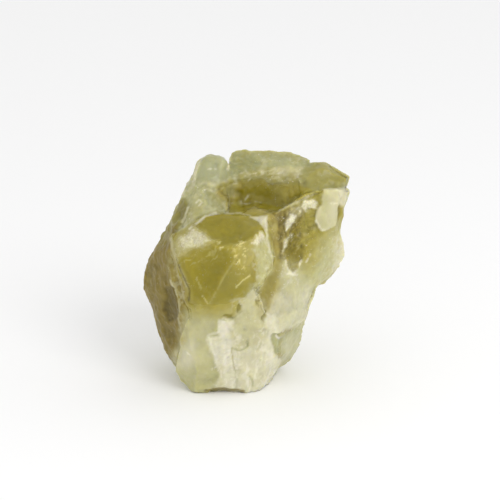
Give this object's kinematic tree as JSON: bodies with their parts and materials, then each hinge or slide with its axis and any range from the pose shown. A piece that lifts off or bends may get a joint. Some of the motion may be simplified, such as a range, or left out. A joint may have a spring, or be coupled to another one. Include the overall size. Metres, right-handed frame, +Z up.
{
  "type": "green calcite specimen",
  "caption": "Rough broken lump of translucent green calcite that stands on a flat broken foot; a specimen to display or to dress a shelf with.",
  "frame": {"origin": "on the ground, below the middle of the lump's box", "axes": "+Z up, -Y towards the side with the glassy olive block, +X to the right seen from that side"},
  "size_m": [0.0523, 0.038, 0.058],
  "materials": {
    "green_calcite": "broken calcite with a waxy to glassy shine: olive and yellow-green where it is clear, cream and frosted white along broken edges"
  },
  "bodies": {
    "root": {"calcite": "green_calcite"}
  },
  "joints": []
}
